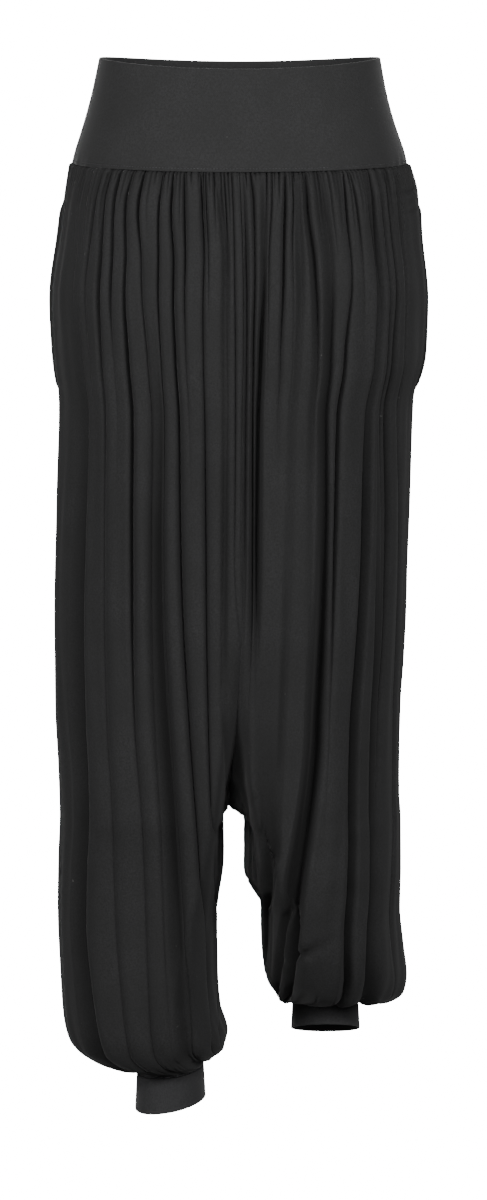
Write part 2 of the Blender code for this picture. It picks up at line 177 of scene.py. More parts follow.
WHITE = linear("#ffffff")
corners = [(x * FLOOR_REACH, y * FLOOR_REACH, FLOOR_AT) for x, y in ((-1, -1), (1, -1), (1, 1), (-1, 1))]
floor_mesh = bpy.data.meshes.new("studio_floor")
floor_mesh.from_pydata(corners, [], [(0, 1, 2, 3)])
floor = add_object("studio_floor", floor_mesh)
bpy.ops.mesh.primitive_uv_sphere_add(segments=48, ring_count=24, radius=WALL_AWAY)
wall = bpy.context.object
wall.name = "studio_wall"
for obj, paint in ((floor, "matt_white_floor_paint"), (wall, "matt_white_wall_paint")):
    # Evenly lit paint seems to glow. The camera sees it, but its light doesn't fall on the cloth.
    glow = {"Base_Color": WHITE, "Roughness": 1.0, "Emission_Color": WHITE, "Emission_Strength": PAINT_GLOW}
    obj.data.materials.append(new_material(paint, **glow)[0])
    for rays in ("diffuse", "glossy", "transmission", "shadow"):
        setattr(obj, "visible_" + rays, False)

world = bpy.data.worlds.new("white_room")
world.use_nodes = True
background = world.node_tree.nodes["Background"]
background.inputs["Color"].default_value = WHITE
background.inputs["Strength"].default_value = ROOM_LIGHT
bpy.context.scene.world = world
soft_light("left_panel", (2.6, 2.6, 0.7), (1.2, 1.2), 96.0)
soft_light("right_panel", (-2.6, 2.6, 0.7), (1.2, 1.2), 96.0)
soft_light("top_panel", (0.2, 3.6, 1.3), (0.9, 0.7), 76.0)
print("floor at", FLOOR_AT)

# %% [markdown]
# ## The jersey
#
# Viscose jersey is a fine weft knit: thin threads make upright ribs, the wales, about 0.6 mm apart. It
# looks matt, with a faint sheen where it turns away. We draw the wales three times as coarse as they are,
# because the real ones would be lost, and add an uneven dye and a few pale specks of lint. Deep in a fold
# the colour is painted darker, towards near black, as painted shade: each point carries a value that says
# how deep it lies, and the painted shade follows it.

# %% The jersey material
VISCOSE_IOR = 1.48
MATTE_SPECULAR = 0.12
SHEEN_ROUGHNESS = 0.4
WALE_MM, COURSE_MM = 1.8, 1.3
MOTTLE_MM, FIBRE_MM, LINT_MM = 45.0, 1.6, 9.0
FIBRE_FROM, FIBRE_TO = 0.3, 0.75
LINT_FROM, LINT_TO, LINT_SHARE = 0.74, 0.79, 0.6
# Lint specks are a real colour. The near black is painted shade: deep in a fold the colour is mixed towards
# it, by at most the share below.
LINT_COLOUR, PAINTED_FOLD_SHADE_COLOUR = "#5e5e5c", "#0c0c0c"
PAINTED_FOLD_SHADE = 0.72


def stripes(tree, vector, direction, spacing, **settings):
    """A pattern of waves, this many millimetres apart."""
    return add_node(
        tree, "ShaderNodeTexWave", {"Vector": vector}, wave_type="BANDS", bands_direction=direction,
        Scale=math.tau / 20 / (spacing * MM), **settings,
    ).outputs["Fac"]


def mixed(tree, share, first, second):
    """Two colours mixed. Each is a hex value or a socket."""
    blend = add_node(tree, "ShaderNodeMix", data_type="RGBA", links={"Factor": share})
    for socket, colour in zip((blend.inputs[6], blend.inputs[7]), (first, second)):
        if isinstance(colour, str):
            socket.default_value = linear(colour)
        else:
            tree.links.new(colour, socket)
    return blend.outputs[2]


def finish_shader(tree, shader, colour, height, depth):
    """Give a shader its colour and a relief of this depth in millimetres."""
    bump = add_node(tree, "ShaderNodeBump", {"Height": height}, Strength=0.5, Distance=depth * MM)
    tree.links.new(colour, shader.inputs["Base Color"])
    tree.links.new(bump.outputs["Normal"], shader.inputs["Normal"])


def jersey(name, dark, light, roughness, sheen, depth):
    """Black viscose jersey, with painted shade in its folds. Its map lies in metres across the wales and
    along them.
    """
    material, tree, shader = new_material(
        name, Roughness=roughness, IOR=VISCOSE_IOR, Specular_IOR_Level=MATTE_SPECULAR,
        Sheen_Weight=sheen, Sheen_Roughness=SHEEN_ROUGHNESS,
    )
    maps = add_node(tree, "ShaderNodeTexCoord").outputs

    def clouds(size, detail):
        return add_node(
            tree, "ShaderNodeTexNoise", {"Vector": maps["Object"]}, Scale=1 / (size * MM), Detail=detail
        ).outputs["Fac"]

    def stretched(value, low, high, most):
        return add_node(
            tree, "ShaderNodeMapRange", {"Value": value}, From_Min=low, From_Max=high, To_Max=most
        ).outputs["Result"]

    def product(first, second):
        return add_node(tree, "ShaderNodeMath", {0: first, 1: second}, operation="MULTIPLY").outputs[0]

    wales = stripes(tree, maps["UV"], "X", WALE_MM, Distortion=0.6, Detail=1.0)
    courses = stripes(tree, maps["UV"], "Y", COURSE_MM, Distortion=0.4, Detail=1.0)
    fibres = stretched(clouds(FIBRE_MM, 2.0), FIBRE_FROM, FIBRE_TO, 1.0)
    lint = stretched(clouds(LINT_MM, 6.0), LINT_FROM, LINT_TO, LINT_SHARE)
    # Painted shade: the deeper a point lies in a fold, the more its colour is mixed towards near black.
    fold_shade_mask = add_node(tree, "ShaderNodeAttribute", attribute_name="fold").outputs["Fac"]
    dyed = mixed(tree, product(clouds(MOTTLE_MM, 3.0), fibres), dark, light)
    fold_shaded_colour = mixed(tree, stretched(fold_shade_mask, 0.0, 1.0, PAINTED_FOLD_SHADE), dyed, PAINTED_FOLD_SHADE_COLOUR)
    specked = mixed(tree, lint, fold_shaded_colour, LINT_COLOUR)
    finish_shader(tree, shader, specked, product(wales, courses), depth)
    return material


PANEL_JERSEY = jersey("viscose_jersey_single", "#242424", "#323233", 0.8, 0.06, 0.12)
YOKE_JERSEY = jersey("viscose_jersey_doubled_yoke", "#272727", "#353536", 0.82, 0.22, 0.15)
# The cuffs' jersey is the same cloth, doubled. Its base colours are painted lighter than the panels', as
# painted light against the shade that the balloon above casts on the cuffs.
CUFF_JERSEY_PAINTED_LIGHTER = jersey("viscose_jersey_doubled_cuff_painted_lighter", "#2b2b2c", "#39393a", 0.82, 0.15, 0.15)
print("jersey wales drawn", WALE_MM, "mm apart")

# %% [markdown]
# ## Sections of the garment
#
# A garment is measured in level rings, as a tailor does with a tape. Each row gives such a ring: how far
# out its side seam lies, where its inner edge is, and how deep the back and the front are. The rows are
# those of the solids, in millimetres and degrees. Between them we draw smooth curves that never overshoot.

# %% Section tables
# The yoke: height, left, right, back, front and dip.
YOKE_ROWS = [
    (0, 131, 131.5, 98, 98, -7),
    (-32, 138, 137.5, 106, 103, -6),
    (-64, 147, 146.5, 114, 108, -4),
    (-89, 154.8, 155.2, 119.2, 111, -2.5),
    (-95.8, 156, 156.5, 120.6, 112.3, -2),
]
# The left leg's rings lean out by the last number, and the right leg's lean back.
PanelRow = namedtuple(
    "PanelRow",
    "height outer inner axis back front back_end front_end back_lobe front_lobe back_fill front_fill lean",
    defaults=(0.0, 0.0, 1.9, 1.9, 0.0),
)
LEFT_ROWS = [
    (-96, 156, 0, 0, 120.6, 112.3, 120.6, 112.3),
    (-124, 160.5, -1.5, 0, 128, 118, 128, 118),
    (-165, 166, -3, 0, 134, 122, 134, 122),
    (-225, 173.5, -4, 0, 139, 126, 139, 126),
    (-275, 171.5, -3.5, 0, 138, 127, 138, 127),
    (-322, 167, -2.5, 0, 136, 127, 136, 127),
    (-430, 171, -1, 0, 131, 126, 128.4, 126, 4, 4),
    (-530, 173.5, 3.2, 0, 126, 122, 118.4, 118, 9, 12),
    (-570, 173, 6.6, 1.5, 123.5, 120, 105.5, 109.5, 8.5, 14),
    (-615, 172, 9.8, 3, 121, 117, 89.5, 95, 9, 18),
    (-665, 169, 12.3, 6, 117, 115, 52.7, 64, 11, 26),
    (-706, 168, 13.5, 7.5, 113, 112.7, -17.5, 17.5, 15, 38),
    (-710, 168, 18.5, 7, 112.4, 112.3, -15, 15, 11.5, 36, 1.9, 1.85),
    (-760, 170.6, 18.7, 2, 106.5, 109, -4, 4, 21, 50, 1.85, 1.75),
    (-814, 171.8, 24, -2, 103, 106, 0, 0, 28, 60, 1.8, 1.7),
    (-870, 169.9, 23.5, -4, 99, 102, 0, 0, 38, 62, 1.8, 1.75),
    (-912, 167.2, 20, -5, 93, 96, 0, 0, 46, 62, 1.85, 1.85, 1),
    (-937, 161, 14.6, -6, 85, 88, 0, 0, 52, 62, 1.9, 1.9, 2),
    (-951, 143, 18.5, -7, 72, 75, 0, 0, 50, 55, 1.9, 1.9, 3.5),
    (-960, 121, 26.5, -8, 56, 58, 0, 0, 43, 45, 1.9, 1.9, 5),
    (-966, 100.5, 33.5, -8, 43, 43, 0, 0, 33.5, 33.5, 1.9, 1.9, 6),
]
RIGHT_ROWS = [
    (-96, 156.5, 0, 0, 120.6, 112.3, 120.6, 112.3),
    (-124, 164, 1.5, 0, 128, 118, 128, 118),
    (-165, 166.5, 3, 0, 134, 122, 134, 122),
    (-225, 172.4, 4, -2, 141, 125, 141, 124, 0, 4),
    (-275, 171, 3.5, -6, 144, 127, 144, 121, 0, 20),
    (-322, 161.3, 2.5, -12, 148, 131, 148, 115, 0, 35, 1.9, 1.85),
    (-430, 158.8, 1, -26, 157, 146, 154.4, 100, 4, 52, 1.9, 1.8),
    (-530, 156, -3.2, -42, 168, 170, 160.4, 76, 17.5, 59, 1.4, 1.75),
    (-570, 154, -6.6, -47, 170, 178, 154, 61, 20, 61, 1.1, 1.75),
    (-615, 151.4, -9.8, -51, 172, 180, 143.5, 41, 22.5, 62, 0.9, 1.75),
    (-665, 151, -12.3, -53, 171, 177, 111.7, 5, 25.5, 62, 0.85, 1.75),
    (-706, 151.2, -13.5, -53, 167.4, 170.3, 43, -43, 32, 64, 0.95, 1.75),
    (-712, 151.6, -2.4, -52.7, 166.5, 169.2, 39.7, -39.7, 23, 56, 1.1, 1.75, 0.25),
    (-725, 152.5, 7.2, -52, 164.2, 166.7, 30, -30, 17.5, 50, 1.35, 1.75, 0.6),
    (-779, 152.6, 7.6, -50, 153, 154, 8, -8, 36, 60, 1.6, 1.75, 2.5),
    (-797, 152.2, 14, -50, 148.5, 149, 4, -4, 36, 60, 1.6, 1.75, 3.5),
    (-814, 152, 23, -50, 143.5, 144, 0, 0, 33, 60, 1.6, 1.75, 4.5),
    (-858, 156, 24, -52, 130, 126, 0, 0, 42, 62, 1.7, 1.8, 6),
    (-889, 159.5, 27.5, -56, 114, 106, 0, 0, 46.5, 64, 1.8, 1.85, 7.5),
    (-906, 157, 36, -61, 99, 90, 0, 0, 47, 60, 1.85, 1.9, 8.5),
    (-915, 148, 41.5, -66, 84, 76, 0, 0, 47, 52, 1.9, 1.9, 10),
    (-919.5, 136, 46, -71, 67, 64, 0, 0, 44, 44, 1.9, 1.9, 12.5),
    (-916.5, 126, 48, -74.5, 54, 54, 0, 0, 38, 38, 1.9, 1.9, 15.5),
    (-909.5, 117, 51, -76, 44, 44, 0, 0, 33, 33, 1.9, 1.9, 19),
]
PANEL_ROWS = {LEFT: LEFT_ROWS, RIGHT: RIGHT_ROWS}
# The first rows dip towards the middle.
PANEL_DIPS = (-2.0, -1.5)

# How full a curve is: 1 is straight, 2 is an ellipse, and more is squarer.
OUTER_FILL, YOKE_FILL = 2.25, 1.9
CURVE_STEPS = 160

Section = namedtuple("Section", "height outer inner axis depth end lobe fill tilt roll dip")


def sections_of(side, face):
    """The sections of one panel, from the yoke to its cuff."""
    sections = []
    for i, row in enumerate(PanelRow(*numbers) for numbers in PANEL_ROWS[side]):
        shape = [getattr(row, FACE_NAMES[face] + size) for size in ("", "_end", "_lobe", "_fill")]
        tilt, roll = (0.0, row.lean) if side == LEFT else (row.lean, 0.0)
        dip = PANEL_DIPS[i] if i < len(PANEL_DIPS) else 0.0
        edges = (side * row.outer, side * row.inner)
        sections.append(Section(row.height, *edges, row.axis, *shape, tilt, roll, dip))
    return sections


def stations_of(rows):
    """How far down the panel each row lies, as a share, and the whole length in millimetres."""
    steps = [math.hypot(b.height - a.height, b.axis - a.axis) for a, b in zip(rows, rows[1:])]
    along = running(steps)
    return along / along[-1], along[-1]


def smooth(knots, values, at):
    """A smooth curve through the knots that never overshoots them, read at other places."""
    knots, values, at = np.array(knots, float), np.array(values, float), np.asarray(at, float)
    width = np.diff(knots)
    slope = np.diff(values) / width
    bend = np.zeros(len(knots))
    bend[0], bend[-1] = slope[0], slope[-1]
    for i in range(1, len(knots) - 1):
        if slope[i - 1] * slope[i] > 0:
            before, after = 2 * width[i] + width[i - 1], width[i] + 2 * width[i - 1]
            bend[i] = (before + after) / (before / slope[i - 1] + after / slope[i])
    i = np.clip(np.searchsorted(knots, at) - 1, 0, len(width) - 1)
    t = clamp((at - knots[i]) / width[i])
    start, end = values[i], values[i + 1]
    return (
        start * (1 + 2 * t) * (1 - t) ** 2
        + end * t**2 * (3 - 2 * t)
        + width[i] * (bend[i] * t * (1 - t) ** 2 - bend[i + 1] * t**2 * (1 - t))
    )


def sections_at(side, face, stations):
    """Smooth sections at these stations down a panel."""
    rows = sections_of(side, face)
    knots, _ = stations_of(rows)
    columns = [smooth(knots, values, stations) for values in zip(*rows)]
    return [Section(*values) for values in zip(*columns)]


def section_curve(section, side, face):
    """A section's curve from the side seam to the inner edge: x, y and the length along it."""
    apex_x = section.inner + side * section.lobe
    apex_y = section.axis + face * section.depth
    end_y = section.axis + face * section.end
    turn = np.linspace(0.0, math.pi / 2, CURVE_STEPS)
    out_x = apex_x + (section.outer - apex_x) * np.cos(turn) ** (2 / OUTER_FILL)
    out_y = section.axis + (apex_y - section.axis) * np.sin(turn) ** (2 / OUTER_FILL)
    in_x = section.inner + (apex_x - section.inner) * (1 - np.sin(turn) ** (2 / section.fill))
    in_y = end_y + (apex_y - end_y) * np.cos(turn) ** (2 / section.fill)
    x = np.concatenate([out_x, in_x[1:]])
    y = np.concatenate([out_y, in_y[1:]])
    return x, y, running(np.hypot(np.diff(x), np.diff(y)))


def place(section, side, x, y):
    """Points of a section's plan, dipped, tilted and rolled into their place."""
    across = (x - section.inner) / (section.outer - section.inner)
    z = section.dip * (1 - across**2)
    tilt, roll = math.radians(section.tilt), math.radians(section.roll)
    middle = (section.outer + section.inner) / 2
    back = y - section.axis
    placed_y = section.axis + back * math.cos(tilt) - z * math.sin(tilt)
    placed_z = section.height + back * math.sin(tilt) + z * math.cos(tilt)
    return np.stack([x, placed_y, placed_z - side * (x - middle) * math.sin(roll)], axis=-1)


def points_along(section, side, curve, at):
    """The points of a section that lie this far along its curve."""
    x, y, along = curve
    return place(section, side, np.interp(at, along, x), np.interp(at, along, y))


for side in (LEFT, RIGHT):
    print(SIDE_NAMES[side], "panel length", round(stations_of(sections_of(side, BACK))[1]), "mm")

# %% [markdown]
# ## Folds
#
# Cloth that is gathered into a band falls in upright folds. Between two folds it stands out as a flat,
# round-edged band, and where two bands press together there is a narrow dark crease. Other folds are broad
# troughs, soft on one side and sharp on the other. We set each large fold one by one, as a row: where it
# runs, how deep it is on its way down, how far its two walls reach, and how wide its floor is to either
# side. A height field over the smooth sections is exact, where a simulation would put the folds elsewhere.

# %% Fold tables
# A fold's path is how far in it lies from the side seam, in percent of the way to x = 0, at these stations
# down the panel. Its depths there are in millimetres.
FOLD_STATIONS = (0.0, 0.035, 0.1, 0.2, 0.4, 0.62, 0.82, 0.95)
Fold = namedtuple("Fold", "path depths outer_wall inner_wall floor", defaults=(0.0,))
LEFT_FOLDS = [
    ((11, 9.5, 12, 14, 13.5, 12.5, 12, 10), (3, 4, 1), 3.5, 3.5),
    ((13, 12, 14, 16.5, 15.5, 14.5, 14.5, 19), (0, 0, 0, 2, 6, 7, 7, 6), 20, 3.5, 1),
    ((21, 18.5, 18, 20.5, 22, 22, 24, 27), (3, 5, 3, 1), 3.5, 4),
    ((25.5, 23, 24.5, 26.5, 27.5, 29, 32.5, 36), (4, 6, 7, 4, 2, 2, 2, 2), 3.5, 6, 0.3),
    ((31, 29, 30.5, 33, 34, 36, 41, 43), (4, 6, 6, 1), 3.5, 3.5, 0.2),
    ((38, 35, 38, 40, 42, 44, 49, 50), (3, 5, 5, 7, 7, 3, 2, 2), 3, 5.5, 0.3),
    ((44.5, 42.5, 47, 51, 52, 54.5, 59, 61), (4, 6, 3, 3, 4, 3, 2, 1), 4, 4.5, 0.3),
    ((53.5, 52.5, 54, 56.5, 57, 61, 67.5, 70), (0, 0, 0, 2, 8, 9, 7, 4), 16, 6, 1),
    ((55.5, 54.5, 56.5, 58.5, 59.5, 63.5, 70, 72.5), (3, 5, 5, 3, 3, 3, 3, 3), 3.5, 4, 0.2),
    ((61.5, 61.5, 64.5, 66, 68, 73.5, 80, 82.5), (4, 6, 6, 6, 7, 6, 3, 2), 3, 6, 0.3),
    ((68, 69, 71, 72, 74, 78, 83, 86), (4, 6, 5, 2), 3.5, 4, 0.2),
    ((77.5, 79, 81, 81, 82, 83.5, 86, 87), (3, 7, 4, 3, 5, 4, 2, 1), 3.5, 5, 0.4),
    ((80.5, 81.5, 83.5, 84.5, 85.5, 87, 88.5, 89.5), (4, 5, 2), 3, 3),
    ((86, 89.5, 92.5, 92.5, 92, 91, 90, 91), (3, 4, 4, 3, 5, 2), 5, 5, 2),
    ((91, 92.5, 94, 94.5, 95, 94, 94, 95), (4, 5, 3), 3, 3.5),
    ((95.5, 96.5, 97.5, 98, 97.5, 97, 97, 98), (4, 3, 3, 3, 2), 3, 3),
]
RIGHT_FOLDS = [
    ((10, 10, 9, 11, 6.5, 4, 5, 7), (3, 4, 3, 2, 2, 2, 2, 1), 4, 8, 0.5),
    ((15, 16, 15, 17.5, 13.5, 12.5, 16, 21), (3, 6, 6, 5, 9, 5), 4, 6.5, 0.8),
    ((20.5, 20.5, 19.5, 20.5, 17, 15.5, 18, 23.5), (3, 4, 3, 4, 2), 5, 4, 0.5),
    ((22.5, 22.5, 22.5, 22.5, 20, 18, 18.5, 24.5), (0, 0, 0, 0, 2, 8, 9, 8), 20, 3.5, 1),
    ((24.5, 25, 24.5, 25, 24, 24, 25, 30), (4, 5, 2), 3, 3, 0.2),
    ((28, 28, 26, 27, 27, 30.5, 32.5, 37), (2, 4, 6, 4, 9, 10, 9, 7), 9, 3.5, 0.8),
    ((36.5, 35.5, 33.5, 34, 35, 38, 42, 45), (3, 5, 2), 4, 4),
    ((40, 41, 39.5, 43, 44, 45, 51, 55), (3, 5, 3, 6, 7, 1), 4, 4, 0.3),
    ((53.5, 52.5, 49.5, 50.5, 49, 49.5, 62, 69), (4, 5, 4, 6, 8, 12, 12, 7), 4, 13, 1),
    ((61.5, 61.5, 58.5, 58, 58, 61, 71, 77), (4, 6, 6, 4, 1), 3.5, 8, 0.4),
    ((60, 60, 60, 60, 55, 55, 68.5, 76), (0, 0, 0, 0, 0, 5, 8, 5), 8, 9, 2),
    ((66.5, 66.5, 66, 68, 70, 73, 78, 82), (3, 4, 4, 3, 2, 3, 2), 5, 8, 1),
    ((69.5, 70, 71, 71.5, 73, 76, 81, 84), (3, 4, 2, 1), 3.5, 3.5),
    ((73.5, 74.5, 76, 78, 77.5, 78, 83, 86), (3, 7, 7, 3), 4, 4, 0.5),
    ((85, 85, 85, 85, 84, 83, 81.5, 84), (0, 0, 0, 0, 0, 2, 9, 2), 10, 12, 4),
    ((81, 82, 84, 85, 85, 86, 87, 88), (4, 4, 3, 1), 3, 3.5),
    ((85.5, 86, 86.5, 88.5, 89.5, 90, 91, 92), (1, 3, 4, 8, 8), 4, 5, 2),
    ((93.5, 92, 91.5, 92.5, 92.5, 92.5, 93, 94), (4, 5, 4, 7, 7), 3.5, 4, 0.4),
    ((98.5, 97.5, 96.5, 96.5, 97, 97, 97, 98), (2, 3, 5, 5, 4), 3, 4, 1.5),
]
# A fold whose depths stop early has run out there.
FOLDS = {
    kind: [Fold(path, depths + (0,) * (len(path) - len(depths)), *walls) for path, depths, *walls in rows]
    for kind, rows in ((LEFT, LEFT_FOLDS), (RIGHT, RIGHT_FOLDS))
}
# A fold with a wall under the first width parts the bands beside it. A wall of the second is a soft slope.
PRESSED_WALL, SOFT_WALL = 5.0, 7.0
# Between these stations, a pressed crease opens out by this much of each of its walls.
OPENS_FROM, OPENS_TO = 0.13, 0.5
OUTER_OPENS, INNER_OPENS = 0.5, 1.6
# Fine gathers fill the room between the large folds next to a seam: their spacing, depth and wall, and the
# least and the most of the panel that they run over.
YOKE_GATHERS = (4.2, 5.5, 2.3, 0.014, 0.11)
CUFF_GATHERS = (4.6, 2.4, 2.4, 0.02, 0.08)
# The plain strip beside the side seam, where no gathers are.
PLAIN_STRIP = {LEFT: 4.0, RIGHT: 16.0}
GATHER_SEED, GATHER_SHIFT, GATHER_DEPTHS = 7, 0.25, (0.6, 1.3)
# How far a band stands out between two creases, how flat it is, and how deep a crease parts bands fully.
BAND_RISE, BAND_FLATNESS, FULL_CREASE = 1.5, 2.2, 6.0
# The cloth is never quite smooth between its folds. Its waves have a height, a spacing, and a drift that
# turns this fast on the way down.
WAVES = [(1.1, 17.0, 2.1, 8.0), (0.5, 4.6, 1.2, 5.0), (0.12, 2.9, 2.3, 15.0)]
WAVES_FADE = 12.0
CREST = 1.2
SEAM_GROOVE, SEAM_WALL = 2.4, 4.5
# Short creases run from one place to another, each a percent along the yoke seam's length and a station
# down the panel. Their width and depth follow.
CREASES = {
    LEFT: [((0, 0.79), (14, 0.765), 4, 2.2), ((0, 0.795), (13, 0.815), 4, 2)],
    RIGHT: [
        ((8, 0.03), (38, 0.031), 2.8, 3.8),
        ((8, 0.039), (34, 0.042), 3.2, 2),
        ((10, 0.053), (32, 0.051), 3.2, 1.8),
        ((0, 0.68), (14, 0.655), 4, 2.2),
        ((0, 0.684), (13, 0.705), 4, 2),
        ((73, 0.884), (99, 0.918), 7, 6),
    ],
}
CREASE_ENDS = 0.08


def pressed(share):
    """How deep a pressed crease is, as a share: round shoulders that meet like two rolls."""
    near = clamp(1 - share)
    return 1 - np.sqrt(clamp(1 - near**2))


def sloped(share):
    """How deep a soft slope is, as a share."""
    return eased(1 - share)


def fold_depth(run, centre, depth, outer_wall, inner_wall, floor=0.0, opening=0.0):
    """The depth of one fold over a whole panel. Its walls widen by their share of the opening."""
    beside = run - centre[:, None]
    past = np.maximum(np.abs(beside) - floor, 0.0)
    sides = []
    for wall, opens in ((outer_wall, OUTER_OPENS), (inner_wall, INNER_OPENS)):
        profile, opens = (sloped, 0.0) if wall >= SOFT_WALL else (pressed, opens)
        sides.append(profile(past / (wall * (1 + opens * opening))))
    return np.where(beside < 0, *sides) * np.asarray(depth)[:, None]


def crease_depth(crease, run, down, span, length):
    """The depth of a short crease: it is deepest in its middle and runs out at both ends."""
    (start, top), (end, bottom), width, depth = crease
    first = np.array([start / 100 * span, top * length])
    along = np.array([end / 100 * span, bottom * length]) - first
    offset = np.stack([run - first[0], down - first[1]], axis=-1)
    share = clamp(offset @ along / (along @ along))
    away = np.linalg.norm(offset - share[..., None] * along, axis=-1)
    swell = np.sin(math.pi * np.clip(share, CREASE_ENDS, 1 - CREASE_ENDS))
    return depth * sloped(away / width) * swell


print("large folds a side:", {SIDE_NAMES[side]: len(rows) for side, rows in FOLDS.items()})

# %% [markdown]
# ## Cloth as a grid
#
# Each piece is a grid of points, and a function turns such a grid into quads. It also lays a flat map over
# them, in metres across and down the cloth, for the knit. The inner side comes from a Solidify modifier.

# %% Grids and pieces
CLOTH = 0.8


def unit_normals(points, sign):
    """The way out of the garment at each point of a grid."""
    return unit(np.cross(np.gradient(points, axis=0), np.gradient(points, axis=1)) * sign)


def grid_mesh(name, points, run, outward, band=False, ring=False):
    """A mesh over a grid of points in millimetres, with a map in metres across and down the cloth. The rows
    of a band close on themselves, and so do the columns of a ring. The two ends of a band are filled."""
    rows, columns = points.shape[:2]
    down = np.linalg.norm(np.diff(points, axis=0, append=points[:1]), axis=2).mean(axis=1)
    down = running(down) * MM
    step = np.linalg.norm(points[:, -1] - points[:, 0], axis=1)
    run = np.concatenate([run, run[:, -1:] + step[:, None]], axis=1) * MM
    row, column = np.meshgrid(
        np.arange(rows if band else rows - 1), np.arange(columns if ring else columns - 1), indexing="ij"
    )
    corners = [(row, column), (row, column + 1), (row + 1, column + 1), (row + 1, column)]
    if not outward:
        corners = corners[::-1]
    faces = np.stack([(r % rows) * columns + c % columns for r, c in corners], axis=-1).reshape(-1, 4)
    chart_at = np.stack([np.stack([run[r % rows, c], down[r]], axis=-1) for r, c in corners], axis=2)
    ends = []
    if band and not ring:
        ends = [[r * columns + c for r in range(rows)] for c in (0, columns - 1)]
        ends = [ends[0][::-1], ends[1]] if outward else [ends[0], ends[1][::-1]]
    mesh = bpy.data.meshes.new(name)
    mesh.from_pydata((points.reshape(-1, 3) * MM).tolist(), [], faces.tolist() + ends)
    chart = mesh.uv_layers.new(name="cloth")
    flat = np.zeros((len(mesh.loops), 2))
    flat[: faces.size] = chart_at.reshape(-1, 2)
    chart.data.foreach_set("uv", flat.reshape(-1))
    mesh.shade_smooth()
    for end in mesh.polygons[len(faces) :]:
        end.use_smooth = False
    return mesh


def piece_of(name, mesh, material, node=None):
    """A piece of the garment, placed in the scene. It stands for its solid if it has one."""
    obj = add_object(name, mesh)
    obj.data.materials.append(material)
    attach(obj, "root")
    if node:
        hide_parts(node)
    return obj


def thicken(obj):
    """Give a sheet the thickness of the cloth, on its inside."""
    wall = obj.modifiers.new("Cloth", "SOLIDIFY")
    wall.thickness = CLOTH * MM
    wall.offset = -1.0


def window(heights, top, bottom, ease):
    """1 between two heights and 0 outside them, with a soft step at either end."""
    return eased(np.minimum(top - heights, heights - bottom) / ease)


print("cloth", CLOTH, "mm thick")

# %% [markdown]
# ## Leg panels
#
# Each leg is a back and a front panel, cut much wider than the body and gathered at both ends. We walk
# down the panel and set a row of points along each section. The columns follow the creases and lie closest
# beside them, because a crease that wanders between columns would look like steps. Then every point moves
# out or in by the folds. At its edges the cloth turns in as the seam allowance.

# %% The columns of a panel
COLUMNS = {BACK: 270, FRONT: 220}
ROWS = {BACK: 168, FRONT: 140}
# The rows lie closer near both seams: a share of the rows, and the station that it reaches.
ROW_SHARES = (0.0, 0.04, 0.16, 0.84, 1.0)
ROW_STATIONS = (0.0, 0.006, 0.07, 0.92, 1.0)
LEAST_BETWEEN = 3.0
LEAST_COLUMNS = 6
EDGE_CLUSTER = 0.62
SEAM_GAP = 0.2


def fold_centres(kind, stations, sections, curves):
    """How far along its section each fold lies, in millimetres: a column for each fold."""
    shares = [1 - x / section.outer for section, (x, _, _) in zip(sections, curves)]
    centres = []
    for fold in FOLDS[kind]:
        path = smooth(FOLD_STATIONS, fold.path, stations) / 100
        centres.append([np.interp(at, share, curve[2]) for at, share, curve in zip(path, shares, curves)])
    return np.array(centres).T


def anchors_of(kind, centres, starts, ends):
    """Where the columns are held: at both edges and at each pressed crease. Also which folds those are."""
    narrower = [min(fold.outer_wall, fold.inner_wall) for fold in FOLDS[kind]]
    creases = [i for i, wall in enumerate(narrower) if wall < PRESSED_WALL]
    anchors = [starts]
    for i in creases:
        anchors.append(np.maximum(centres[:, i], anchors[-1] + LEAST_BETWEEN))
    room = [(len(anchors) - i) * LEAST_BETWEEN for i in range(len(anchors))]
    return np.array([np.minimum(a, ends - r) for a, r in zip(anchors, room)] + [ends]).T, creases


def column_places(anchors, count):
    """Where the columns lie between each two anchors, as shares of the way."""
    widths = np.diff(anchors, axis=1).mean(axis=0)
    numbers = np.maximum(LEAST_COLUMNS, np.round(count * widths / widths.sum())).astype(int)
    places = []
    for number in numbers:
        even = np.arange(number) / number
        places.append(EDGE_CLUSTER * (1 - np.cos(math.pi * even)) / 2 + (1 - EDGE_CLUSTER) * even)
    return places


def bands_between(anchors, places, parting):
    """Every point's place along its section, and how far the bands between the creases stand out."""
    run, rise = [], []
    for k, share in enumerate(places):
        width = anchors[:, k + 1] - anchors[:, k]
        run.append(anchors[:, k, None] + width[:, None] * share)
        before = clamp(1 - 2 * share) ** BAND_FLATNESS
        after = clamp(2 * share - 1) ** BAND_FLATNESS
        rise.append(BAND_RISE * (1 - parting[:, k, None] * before - parting[:, k + 1, None] * after))
    run.append(anchors[:, -1:])
    rise.append(np.full((len(anchors), 1), BAND_RISE))
    return np.concatenate(run, axis=1), np.concatenate(rise, axis=1)


def gather_depth(gathers, plain, run, firsts, from_seam, rng):
    """Fine gathers between the large folds, next to a seam. Each runs out sooner or later."""
    spacing, deepest, wall, least, most = gathers
    depth = np.zeros_like(run)
    at_seam = int(np.argmin(from_seam))
    for first, last in zip(firsts, firsts[1:]):
        number = int((run[at_seam, last] - run[at_seam, first]) / spacing)
        for i in range(number):
            rank = i + 1 + rng.uniform(-GATHER_SHIFT, GATHER_SHIFT)
            column = first + round(rank / (number + 1) * (last - first))
            reach = least + (most - least) * rng.uniform() ** 2
            deep = deepest * rng.uniform(*GATHER_DEPTHS) * clamp(1 - from_seam / reach)
            if run[at_seam, column] > plain:
                depth += fold_depth(run, run[:, column], deep, wall, wall) ** FOLD_SHARE
    return depth


print("columns:", COLUMNS[BACK], "on a back panel and", COLUMNS[FRONT], "on a front one")

